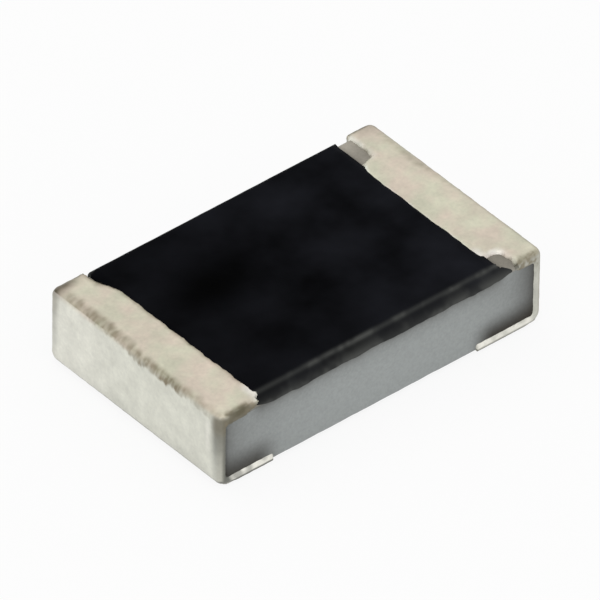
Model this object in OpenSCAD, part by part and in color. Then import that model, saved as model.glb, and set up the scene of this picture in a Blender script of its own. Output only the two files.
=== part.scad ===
// Thick-film chip resistor in the 0805 case, built up in its layers.
// X runs along the body, Y across it and Z up. The origin is the middle of the footprint,
// on the plane that the solder pads stand on. All sizes are in millimetres.

/* [Ceramic body] */
// Length of the ceramic between its end faces
body_l = 1.94; // [1.7:0.01:2.4]
// Width of the ceramic
body_w = 1.25; // [1.1:0.01:1.6]
// Thickness of the ceramic
body_t = 0.39; // [0.28:0.01:0.6]
// Radius of the four upright corners of the ceramic
body_corner_r = 0.03; // [0.02:0.005:0.035]
// Bevel that scribing leaves along the top of both long sides
scribe_bevel = 0.035; // [0.02:0.005:0.05]

/* [Printed electrodes] */
// Thickness of the printed electrodes
electrode_t = 0.008; // [0.006:0.001:0.014]
// Length of each top electrode, from the end face
top_electrode_l = 0.44; // [0.42:0.01:0.55]
// Ceramic left bare on average at each side of the left top electrode
top_electrode_inset_left = 0.09; // [0.08:0.01:0.25]
// Ceramic left bare on average at each side of the right top electrode
top_electrode_inset_right = 0.18; // [0.08:0.01:0.25]
// Sideways registration of the top electrodes
top_electrode_shift = -0.04; // [-0.05:0.01:0.05]
// Average length of the bottom electrodes, from the end face
bottom_electrode_l = 0.34; // [0.32:0.01:0.45]
// Lengthwise registration of the bottom electrodes
bottom_electrode_shift = -0.04; // [-0.04:0.005:0.04]

/* [Resistive film] */
// Thickness of the resistive film
film_t = 0.006; // [0.005:0.001:0.012]
// How much narrower the film is than the electrodes, at each side
film_inset = 0.06; // [0.02:0.01:0.12]
// How far the film laps onto each top electrode
film_lap = 0.12; // [0.06:0.01:0.12]
// Width of the laser trim cut
trim_kerf = 0.03; // [0.02:0.005:0.05]
// Reach of the trim cut across the film
trim_plunge = 0.34; // [0.2:0.01:0.4]
// Reach of the trim cut along the film
trim_run = 0.26; // [0.1:0.01:0.35]
// Where the trim cut enters, along the body
trim_x = -0.16; // [-0.25:0.01:0]

/* [Glass undercoat] */
// Thickness of the glass over the film
glass_t = 0.004; // [0.003:0.001:0.01]
// How far the glass reaches past the film on each side
glass_margin = 0.03; // [0.02:0.005:0.03]

/* [Overcoat] */
// Thickness of the overcoat over the glass
coat_t = 0.008; // [0.006:0.001:0.016]
// Average distance of the overcoat's ends from the end faces
coat_margin = 0.2; // [0.185:0.005:0.21]
// Lengthwise registration of the overcoat
coat_shift = -0.015; // [-0.02:0.005:0.02]
// How far the top of the overcoat slopes in from each long side
coat_slope = 0.055; // [0.035:0.005:0.07]
// How far the overcoat stands proud of the long sides
coat_side_t = 0.004; // [0.002:0.001:0.006]
// Thickness of the thin lip at each end of the overcoat
coat_lip_t = 0.004; // [0.003:0.001:0.008]
// Length of the lip, which the plating laps over
coat_lip_l = 0.04; // [0.02:0.005:0.05]

/* [End electrodes] */
// Thickness of the end electrode on the end face
end_t = 0.018; // [0.015:0.001:0.03]
// Thickness of the end electrode where it wraps over the printed electrodes
wrap_t = 0.004; // [0.003:0.001:0.01]
// Length of the wrap on top
top_wrap_l = 0.12; // [0.08:0.005:0.13]
// Length of the wrap underneath
bottom_wrap_l = 0.24; // [0.15:0.01:0.24]

/* [Plating] */
// Thickness of the nickel
nickel_t = 0.005; // [0.004:0.001:0.008]
// Thickness of the tin
tin_t = 0.007; // [0.005:0.001:0.01]
// How far the nickel stands proud of the long sides
nickel_side_t = 0.004; // [0.003:0.001:0.008]
// How far the tin stands proud of the nickel at the long sides
tin_side_t = 0.006; // [0.004:0.001:0.01]
// How far the tin laps round the upright corners onto the long sides
side_lap = 0.015; // [0.01:0.001:0.018]
// How far the tin creeps up the long sides from the solder pads
side_creep = 0.025; // [0.014:0.001:0.03]
// How far the tin creeps down the long sides from the bevels
bevel_creep = 0.003; // [0.002:0.001:0.006]
// Radius of the tin along the edges of each end face
edge_r = 0.045; // [0.035:0.001:0.05]
// Radius of the tin at the upright corners
corner_r = 0.06; // [0.04:0.005:0.065]

/* [Hidden] */
left = -1;
right = 1;
// Flats to a rounded corner
arc_steps = 5;
// Overshoot of a cutting shape
over = 0.1;

plating_t = nickel_t + tin_t;
plating_side_t = nickel_side_t + tin_side_t;
layers_t = electrode_t + wrap_t + plating_t;
z_bottom = layers_t;
z_top = z_bottom + body_t;
z_electrode = z_top + electrode_t;
z_lip = z_electrode + coat_lip_t;
z_coat = z_electrode + film_t + glass_t + coat_t;
end_x = body_l / 2;
gap_x = end_x - top_electrode_l;
film_w = min(top_electrode_w(left), top_electrode_w(right)) - 2 * film_inset;
film_x = gap_x + film_lap;

// Where the overcoat ends, from the middle of the body towards one end
function coat_x(side) = end_x - coat_margin + side * coat_shift;

// Width of the top electrode at one end
function top_electrode_w(side) =
    body_w - 2 * (side == left ? top_electrode_inset_left : top_electrode_inset_right);

// Edge of the top electrode at one end, on the side of Y that way gives, grown by t
function side_y(side, way, t) = top_electrode_shift + way * (top_electrode_w(side) / 2 + t);

// Where the bottom electrode ends, from the middle of the body towards one end
function bottom_electrode_x(side) = end_x - bottom_electrode_l + side * bottom_electrode_shift;

// Points of an arc
function arc(centre, r, from, to) = [
    for (i = [0 : arc_steps])
        let (a = from + (to - from) * i / arc_steps)
        centre + r * [cos(a), sin(a)]
];

// Outline of a rectangle with rounded corners
function rounded_outline(l, w, r) = concat(
    arc([l / 2 - r, w / 2 - r], r, 0, 90),
    arc([r - l / 2, w / 2 - r], r, 90, 180),
    arc([r - l / 2, r - w / 2], r, 180, 270),
    arc([l / 2 - r, r - w / 2], r, 270, 360)
);

// Reach of a layer t thick over the end electrode, where the tin reaches as far as given
function reach(tin_reach, t) = max(0, tin_reach - plating_t + t);

// Lengthwise section of the layers round the right end, t thick over the end electrode
function cap_profile(t) =
    let (x_out = end_x + end_t + t)
    let (z_high = z_electrode + wrap_t + t)
    let (z_low = plating_t - t)
    let (r = edge_r - plating_t + t)
    let (x_high = end_x - top_wrap_l - t)
    let (x_low = end_x - bottom_wrap_l - t)
    let (x_lap = end_x - reach(side_lap, t))
    let (z_lap_low = z_bottom + reach(side_creep, t))
    let (z_lap_high = z_top - scribe_bevel - reach(bevel_creep, t))
    concat(
        [[x_high, z_high]],
        arc([x_out - r, z_high - r], r, 90, 0),
        arc([x_out - r, z_low + r], r, 0, -90),
        [
            [x_low, z_low],
            [x_low, z_lap_low],
            [x_lap, z_lap_low],
            [x_lap, z_lap_high],
            [x_high, z_lap_high]
        ]
    );

// Straight run up Z from an outline in X and Y
module up(z0, z1)
    translate([0, 0, z0])
        linear_extrude(z1 - z0)
            children();

// Straight run along Y from an outline in X and Z
module across(w)
    rotate([90, 0, 0])
        linear_extrude(w, center = true)
            children();

// Straight run along X from an outline in Y and Z
module along(x0, x1)
    translate([x0, 0, 0])
        rotate([90, 0, 90])
            linear_extrude(x1 - x0)
                children();

// Upright block between two heights
module block(x0, x1, y0, y1, z0, z1)
    translate([x0, y0, z0])
        cube([x1 - x0, y1 - y0, z1 - z0]);

// Takes what is drawn for the right end to either end
module at_end(side)
    mirror([side == left ? 1 : 0, 0, 0])
        children();

// Wedges that bevel the top of both long sides of something w wide
module long_bevels(w, z)
    for (side = [-1, 1])
        along(-body_l, body_l)
            polygon([
                [side * (w / 2 - scribe_bevel - over), z + over],
                [side * (w / 2 + over), z - scribe_bevel - over],
                [side * (w / 2 + over), z + over]
            ]);

module body_shape()
    difference() {
        up(z_bottom, z_top)
            polygon(rounded_outline(body_l, body_w, body_corner_r));
        long_bevels(body_w, z_top);
    }

// Top electrode of one end, drawn at the right end
module top_electrode_shape(side)
    block(gap_x, end_x, side_y(side, -1, 0), side_y(side, 1, 0), z_top, z_electrode);

// Bottom electrode of one end, drawn at the right end
module bottom_electrode_shape(side)
    intersection() {
        up(z_bottom - electrode_t, z_bottom)
            polygon(rounded_outline(body_l, body_w, body_corner_r));
        block(bottom_electrode_x(side), body_l, -body_w, body_w, -over, z_top);
    }

// Flat layer between the electrodes that climbs onto both of them
module film_layer(t, x, w) {
    block(-gap_x, gap_x, top_electrode_shift - w / 2, top_electrode_shift + w / 2, z_top, z_top + t);
    for (side = [left, right])
        at_end(side)
            block(gap_x - t, x, top_electrode_shift - w / 2, top_electrode_shift + w / 2,
                z_top, z_electrode + t);
}

module film_shape()
    film_layer(film_t, film_x, film_w);

module glass_shape()
    film_layer(film_t + glass_t, film_x + glass_margin, film_w + 2 * glass_margin);

// Room of the trim cut, which starts off the film and turns along it
module trim_cut()
    up(z_top, z_coat)
        translate([trim_x, top_electrode_shift - film_w / 2 - glass_margin / 2]) {
            square([trim_kerf, glass_margin / 2 + trim_plunge]);
            translate([0, glass_margin / 2 + trim_plunge - trim_kerf])
                square([trim_run, trim_kerf]);
        }

// Cross section of the overcoat up to a height
module coat_section(z)
    intersection() {
        polygon([
            [-body_w / 2 - coat_side_t, z_top - scribe_bevel],
            [body_w / 2 + coat_side_t, z_top - scribe_bevel],
            [body_w / 2 - coat_slope, z_coat],
            [coat_slope - body_w / 2, z_coat]
        ]);
        translate([-body_w, 0])
            square([2 * body_w, z]);
    }

module coat_shape() {
    along(-coat_x(left), coat_x(right))
        coat_section(z_lip);
    along(coat_lip_l - coat_x(left), coat_x(right) - coat_lip_l)
        coat_section(z_coat);
}

// Layers round the right end, t thick over the end electrode
module cap_shape(t, side_t)
    difference() {
        intersection() {
            across(2 * body_w)
                polygon(cap_profile(t));
            up(-over, z_coat + over)
                polygon(rounded_outline(body_l + 2 * (end_t + t), body_w + 2 * side_t,
                    corner_r - plating_t + t));
        }
        long_bevels(body_w + 2 * side_t, z_electrode + wrap_t + t);
    }

// Outside of the plating at one end: the cap, the bottom electrode and the tongue on the top electrode
module plating_shape(side, t, side_t) {
    y0 = side_y(side, -1, t);
    y1 = side_y(side, 1, t);
    x_lap = coat_x(side) - coat_lip_l + plating_t - t;
    cap_shape(t, side_t);
    block(bottom_electrode_x(side) - t, end_x - bottom_wrap_l, -body_w / 2 - side_t,
        body_w / 2 + side_t, z_bottom - electrode_t - t, z_bottom + reach(side_creep, t));
    block(coat_x(side), end_x - top_wrap_l, y0, y1, z_top, z_electrode + t);
    block(x_lap, coat_x(side) + t, y0, y1, z_top, z_lip + t);
}

module ceramic_substrate()
    color("lightgray")
        body_shape();

module top_electrode(side)
    color("silver")
        at_end(side)
            top_electrode_shape(side);

module bottom_electrode(side)
    color("silver")
        at_end(side)
            bottom_electrode_shape(side);

module resistive_film()
    color("dimgray")
        difference() {
            film_shape();
            for (side = [left, right])
                at_end(side)
                    top_electrode_shape(side);
            trim_cut();
        }

module glass_undercoat()
    color("darkseagreen")
        difference() {
            glass_shape();
            film_shape();
            for (side = [left, right])
                at_end(side)
                    top_electrode_shape(side);
            trim_cut();
        }

module overcoat()
    color("black")
        difference() {
            coat_shape();
            body_shape();
            for (side = [left, right])
                at_end(side)
                    top_electrode_shape(side);
            difference() {
                glass_shape();
                trim_cut();
            }
        }

module end_electrode(side)
    color("gray")
        at_end(side)
            difference() {
                cap_shape(0, 0);
                body_shape();
                top_electrode_shape(side);
                bottom_electrode_shape(side);
            }

module nickel_barrier(side)
    color("darkgray")
        difference() {
            at_end(side)
                difference() {
                    plating_shape(side, nickel_t, nickel_side_t);
                    cap_shape(0, 0);
                    body_shape();
                    top_electrode_shape(side);
                    bottom_electrode_shape(side);
                }
            coat_shape();
        }

module tin_plating(side)
    color("gainsboro")
        difference() {
            at_end(side)
                difference() {
                    plating_shape(side, plating_t, plating_side_t);
                    plating_shape(side, nickel_t, nickel_side_t);
                    body_shape();
                }
            coat_shape();
        }

ceramic_substrate();
top_electrode(left);  // top_electrode_left
top_electrode(right);  // top_electrode_right
bottom_electrode(left);  // bottom_electrode_left
bottom_electrode(right);  // bottom_electrode_right
resistive_film();
glass_undercoat();
overcoat();
end_electrode(left);  // end_electrode_left
end_electrode(right);  // end_electrode_right
nickel_barrier(left);  // nickel_barrier_left
nickel_barrier(right);  // nickel_barrier_right
tin_plating(left);  // tin_plating_left
tin_plating(right);  // tin_plating_right
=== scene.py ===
"""Looks of a thick-film chip resistor, modelled over its packed layers and seen as in its photograph."""

import math

import bmesh
import bpy
from bpy.props import FloatProperty, FloatVectorProperty, PointerProperty
from mathutils import Matrix, Vector, noise


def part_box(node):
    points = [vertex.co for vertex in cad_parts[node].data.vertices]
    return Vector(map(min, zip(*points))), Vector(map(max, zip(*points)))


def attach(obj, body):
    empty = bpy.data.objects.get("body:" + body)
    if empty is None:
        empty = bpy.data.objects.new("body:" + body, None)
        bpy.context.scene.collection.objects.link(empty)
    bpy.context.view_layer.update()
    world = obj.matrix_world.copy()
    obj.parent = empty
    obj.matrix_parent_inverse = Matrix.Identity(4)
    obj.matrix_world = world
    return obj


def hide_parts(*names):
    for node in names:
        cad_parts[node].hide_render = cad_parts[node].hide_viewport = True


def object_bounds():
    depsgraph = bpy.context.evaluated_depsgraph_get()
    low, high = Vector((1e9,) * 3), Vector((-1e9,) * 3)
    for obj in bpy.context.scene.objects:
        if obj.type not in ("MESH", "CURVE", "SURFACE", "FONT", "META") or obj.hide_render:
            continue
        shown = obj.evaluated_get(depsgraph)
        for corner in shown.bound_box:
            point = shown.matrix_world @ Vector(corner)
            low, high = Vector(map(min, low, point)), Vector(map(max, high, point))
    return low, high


bl_info = {
    "name": "Chip resistor",
    "version": (1, 0, 0),
    "blender": (4, 5, 0),
    "location": "View3D > Sidebar > Resistor",
    "description": "Models and finishes the pieces of a thick-film chip resistor",
    "category": "Object",
}

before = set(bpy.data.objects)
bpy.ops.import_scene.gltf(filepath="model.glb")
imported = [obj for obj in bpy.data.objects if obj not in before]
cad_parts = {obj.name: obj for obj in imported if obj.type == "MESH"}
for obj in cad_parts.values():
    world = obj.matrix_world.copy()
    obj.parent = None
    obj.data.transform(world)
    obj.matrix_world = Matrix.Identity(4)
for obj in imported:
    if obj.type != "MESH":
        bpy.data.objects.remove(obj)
CAD_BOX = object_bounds()

MM = 0.001
ENDS = {"left": -1, "right": 1}
BODY_LOW, BODY_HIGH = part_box("ceramic_substrate")
COAT_LOW, COAT_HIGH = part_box("overcoat")
# A length that tells two faces of a piece apart, and the step that slopes are measured over
NEAR = 0.0002 * MM
# A length far beyond the resistor, for the cover of a point off any border and for a box's open side
FAR = 1.0

# The photograph's frame, and where the middle of the resistor lies in it
IMAGE_PX = 600
MIDDLE_PX = (296.2, 303.1)
PX_PER_M = 211500

WHITE = (1.0, 1.0, 1.0, 1.0)
# How far apart the patterns of noise lie in its own space
LAYERS_APART = Vector((17.3, 5.9, 11.7))
# The part of its range that a noise texture mostly keeps to
NOISE_SPAN = {"From Min": 0.3, "From Max": 0.7}


def linear(hex_colour):
    """An sRGB hex colour as linear red, green and blue."""
    parts = [int(hex_colour[i:i + 2], 16) / 255 for i in (1, 3, 5)]
    return tuple(c / 12.92 if c <= 0.04045 else ((c + 0.055) / 1.055) ** 2.4 for c in parts)


def length(name, description, default):
    """A length property, in metres."""
    return FloatProperty(name=name, description=description, default=default, min=0.0,
                         precision=6, subtype="DISTANCE", unit="LENGTH")


def colour(name, description, hex_colour):
    """A colour property with an sRGB default."""
    return FloatVectorProperty(name=name, description=description, default=linear(hex_colour),
                               size=3, min=0.0, max=1.0, subtype="COLOR")


class ResistorSizes(bpy.types.PropertyGroup):
    """Sizes that the layers alone do not settle."""

    tin_step: length("Tin grid", "Grid of the tin's mesh", 0.008 * MM)
    nickel_step: length("Nickel grid", "Grid of the nickel's mesh", 0.016 * MM)
    coat_step: length("Overcoat grid", "Grid of the overcoat's mesh", 0.008 * MM)
    body_step: length("Ceramic grid", "Grid of the ceramic's mesh", 0.014 * MM)

    end_round: length("End rounding", "Radius along the edges of the end faces", 0.05 * MM)
    top_round: length("Top rounding", "Height of the rounding under the top face", 0.045 * MM)
    pad_round: length("Pad rounding", "Height of the rounding along the pads' sides", 0.02 * MM)
    foot_round: length("Foot rounding", "Height of the rounding under the end faces", 0.06 * MM)
    body_round: length("Ceramic rounding", "Radius of the ceramic under the plating", 0.032 * MM)
    top_fall: length("Top border", "Width over which the plating thins out on top", 0.026 * MM)
    side_fall: length("Side border", "Width over which the plating thins out on the sides", 0.009 * MM)
    sink: length("Sink", "How far a thinned border dips into what it lies on", 0.0002 * MM)
    waver: length("Waver", "How far a plated border strays from its line", 0.007 * MM)
    grain: length("Grain", "Height of the grain of the tin", 0.0012 * MM)
    ridge: length("Ridge", "Height of the torn grain along the top end edges", 0.005 * MM)
    bead: length("Bead", "Height of the beads along the tin's borders on top", 0.005 * MM)

    tongue_lap: length("Tongue lap", "How far the tongues lap over the overcoat", 0.05 * MM)
    band_left_near: length("Left band, near", "Plated length of the left top, near side", 0.25 * MM)
    band_left_far: length("Left band, far", "Plated length of the left top, far side", 0.212 * MM)
    band_right_near: length("Right band, near", "Plated length of the right top, near side", 0.168 * MM)
    band_right_far: length("Right band, far", "Plated length of the right top, far side", 0.166 * MM)
    lap_left: length("Left lap", "Plated length of the long sides at the left end", 0.04 * MM)
    lap_right: length("Right lap", "Plated length of the long sides at the right end", 0.058 * MM)
    strip: length("Strip", "Height of the plating's lower border under the top long edges", 0.371 * MM)
    creep: length("Creep", "Height of the plating on the long sides above the pads", 0.053 * MM)
    cut_along: length("Corner cut, along", "Far corner cut from the tongues, lengthwise", 0.05 * MM)
    cut_across: length("Corner cut, across", "Far corner cut from the tongues, across", 0.085 * MM)

    scribe_bevel: length("Scribe bevel", "Bevel along the top of the long sides", 0.035 * MM)
    body_corner: length("Ceramic corner", "Radius of the upright ceramic corners", 0.03 * MM)
    snap_relief: length("Snap relief", "Unevenness of the snapped long sides", 0.0015 * MM)
    chip: length("Chips", "Depth of the chips along the lower long edges", 0.002 * MM)

    coat_slope_near: length("Overcoat slope, near", "Width of the slope on the near side", 0.055 * MM)
    coat_slope_far: length("Overcoat slope, far", "Width of the slope on the far side", 0.03 * MM)
    coat_break: length("Overcoat edge", "Radius of the overcoat's long top edges", 0.02 * MM)
    coat_waver: length("Overcoat waver", "How far the overcoat's side border strays", 0.014 * MM)
    coat_lip: length("Overcoat lip", "Length over which the overcoat's ends thin out", 0.05 * MM)
    coat_lip_drop: length("Overcoat lip drop", "How far the overcoat's ends thin out", 0.014 * MM)
    coat_run: length("Overcoat run", "How far the overcoat runs on along the near right bevel", 0.07 * MM)
    coat_shell: length("Overcoat shell", "Thickness of the overcoat where it shows", 0.005 * MM)


class ResistorColours(bpy.types.PropertyGroup):
    """Colours of the finishes."""

    tin_end: colour("Tin ends", "Tin on the end faces", "#DADACF")
    # The tin on top is warmer, and a little darker as painted shade
    tin_top: colour("Tin top", "Tin on top, warmer and duller", "#D5CEBC")
    # Painted dark reflection and shade on the tin along the top end edges, where the facing turns and at the
    # upright corners' tops; also the darker tone where the left tongue thins out over the overcoat
    tin_edge_shade: colour("Tin edges", "Tin along the torn top end edges", "#8F8672")
    # Painted dark reflection on the tin round the upright corners and on the side strips, and painted shade
    # low down by the floor
    tin_corner_shade: colour("Tin corners", "Tin round the upright corners", "#70716B")
    # Darker tin on the laps over the long top edges and round the far corners, and painted shade at the tops
    # of the upright corners
    tin_dark_patch: colour("Tin stain", "Stained tin on the laps over the long edges", "#625D4C")
    # Painted shade on the tin that faces down and along the pads' lowest strip
    tin_under_shade: colour("Tin under", "Tin that turns under the pads", "#6E6D66")
    # Painted highlight on the tin along the borders, the pads' sides, the tongues' near corners and the end
    # faces
    tin_highlight: colour("Tin beads", "Smooth, bright tin along the borders", "#EDEBE2")
    tint_pink: colour("Pinkish tint", "Tint over the tin where it has aged pinkish", "#FFF9FC")
    tint_green: colour("Greenish tint", "Tint over the tin where it has aged greenish", "#F9FFFC")
    alumina: colour("Alumina", "Fired alumina", "#A2A6A5")
    # Painted shade on the alumina next to the plated ends, above the pads and just below the overcoat, and
    # the darker tone of two bare patches on top
    alumina_shade: colour("Alumina stain", "Alumina stained next to the plating", "#34302A")
    alumina_top: colour("Alumina top", "Bare alumina on top", "#C0BAAD")
    epoxy: colour("Overcoat", "Black epoxy", "#010101")
    epoxy_pale: colour("Overcoat haze", "Hazier patches of the black epoxy", "#1E1F24")
    # Painted highlight along the overcoat's rounded long top edges, and the paler tone where it thins down
    # the slopes
    epoxy_highlight_and_thin: colour("Overcoat wear", "Black epoxy where it is rubbed or thin", "#4C4D4B")
    silver: colour("Silver print", "Fired silver electrodes", "#CFCBC0")
    film: colour("Resistive film", "Fired resistive paste", "#25252A")
    glass: colour("Undercoat", "Fired glass undercoat", "#7C8A76")
    end_alloy: colour("End electrode", "Metal film of the end electrodes", "#A3A29C")
    nickel: colour("Nickel", "Nickel plate", "#B5AFA0")
    paper: colour("Stage", "Paper that the resistor lies on", "#F2F2F2")


class ResistorStage(bpy.types.PropertyGroup):
    """Camera and light."""

    azimuth: FloatProperty(name="Azimuth", description="Way that the camera looks from",
                           default=math.radians(-40.7), subtype="ANGLE")
    elevation: FloatProperty(name="Elevation", description="Height of the camera over the horizon",
                             default=math.radians(39.3), subtype="ANGLE")
    roll: FloatProperty(name="Roll", description="Turn of the camera about its own line of sight",
                        default=math.radians(0.78), subtype="ANGLE")
    distance: length("Distance", "Distance of the camera", 100 * MM)
    sky: FloatProperty(name="Sky", description="Level of the even light from all round", default=0.88)
    key: FloatProperty(name="Key", description="Level that the soft lamp adds", default=0.12)
    key_size: length("Key size", "Side of the soft lamp", 100 * MM)
    key_distance: length("Key distance", "Distance of the soft lamp", 100 * MM)
    key_way: FloatVectorProperty(name="Key way", description="Way from the resistor to the soft lamp",
                                 default=(-0.62, -0.38, 0.69), size=3, subtype="DIRECTION")
    floor: length("Floor", "Side of the floor", 800 * MM)
    floor_white: FloatProperty(name="Floor white", description="Share of plain white in the floor's look",
                               default=0.88)


# Sums and curves that the shapes are worked out with

def smooth_step(low, high, value):
    """0 below low, 1 above high and a smooth rise between."""
    share = min(max((value - low) / (high - low), 0.0), 1.0)
    return share * share * (3 - 2 * share)


def mixed(a, b, share):
    """The value that lies at a share of the way from a to b."""
    return a + (b - a) * share


def blend_min(a, b, width):
    """The lesser of two lengths, with a round change from one to the other."""
    near = max(width - abs(a - b), 0.0) / width
    return min(a, b) - near * near * width / 4


def blend_max(a, b, width):
    """The greater of two lengths, with a round change from one to the other."""
    return -blend_min(-a, -b, width)


def ripple(point, size, layer=0):
    """Smooth noise from -1 to 1 with features of the given size. Each layer is a pattern of its own."""
    return noise.noise(Vector(point) / size + LAYERS_APART * (layer + 1))


def fall(cover, width):
    """Share of its height that a layer has lost at a distance from its border, as a quarter round."""
    share = min(max(1 - cover / width, 0.0), 1.0)
    return 1 - math.sqrt(1 - share * share)


# Steps that all the pieces share

def add_block(bm, low, high):
    """Starts a mesh as a block between two corners."""
    bmesh.ops.create_cube(bm, size=1.0)
    bmesh.ops.scale(bm, vec=high - low, verts=bm.verts)
    bmesh.ops.translate(bm, vec=(low + high) / 2, verts=bm.verts)


def grid_box(bm, low, high, step):
    """A box whose faces carry an even grid of about the given step."""
    low, high = Vector(low), Vector(high)
    add_block(bm, low, high)
    for axis in range(3):
        lines = [e for e in bm.edges if abs(e.verts[0].co[axis] - e.verts[1].co[axis]) > NEAR]
        cuts = max(round((high[axis] - low[axis]) / step) - 1, 1)
        bmesh.ops.subdivide_edges(bm, edges=lines, cuts=cuts, use_grid_fill=True)


def trim(bm, cover, ways, limit, rounds=4):
    """Cuts a sheet back to where its cover is positive, and draws its border onto the line of no cover
    in a few rounds, each no longer than the limit."""
    spare = [f for f in bm.faces if cover(f.calc_center_median()) < 0]
    bmesh.ops.delete(bm, geom=spare, context="FACES")
    border = {v for e in bm.edges if e.is_boundary for v in e.verts}
    for vert in sorted(border, key=lambda v: tuple(v.co)):
        for _ in range(rounds):
            here = cover(vert.co)
            slopes = [(way, (cover(vert.co + way * NEAR) - here) / NEAR) for way in ways(vert.co)]
            steep = sum(slope * slope for _, slope in slopes)
            # Where the cover is level, nothing leads to the line
            if steep < 0.01:
                break
            for way, slope in slopes:
                vert.co -= way * min(max(here * slope / steep, -limit), limit)


def thicken(bm, thickness):
    """Turns an open sheet into a closed shell that grows inwards."""
    bm.normal_update()
    ways = {tuple(v.co): v.normal.copy() for v in bm.verts}
    made = bmesh.ops.extrude_face_region(bm, geom=bm.faces[:], use_keep_orig=True)
    inner = [g for g in made["geom"] if isinstance(g, bmesh.types.BMVert)]
    for vert in inner:
        vert.co -= ways[tuple(vert.co)] * thickness
    bmesh.ops.recalc_face_normals(bm, faces=bm.faces)


def add_object(name, data):
    """Adds an object to the scene."""
    made = bpy.data.objects.new(name, data)
    bpy.context.scene.collection.objects.link(made)
    return made


def mesh_object(bm, name, material):
    """Makes an object of a mesh, with its material."""
    mesh = bpy.data.meshes.new(name)
    bm.to_mesh(mesh)
    bm.free()
    mesh.materials.append(material)
    return add_object(name, mesh)


def finish_piece(bm, name, material, node_name, crease=math.radians(50)):
    """Makes a smooth piece of a mesh, sharp only along its creases, and gives it its place in the frame."""
    bm.normal_update()
    for face in bm.faces:
        face.smooth = True
    for edge in bm.edges:
        edge.smooth = len(edge.link_faces) != 2 or edge.calc_face_angle(0.0) < crease
    piece = mesh_object(bm, name, material)
    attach(piece, "root")
    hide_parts(node_name)


# The plated ends

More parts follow.
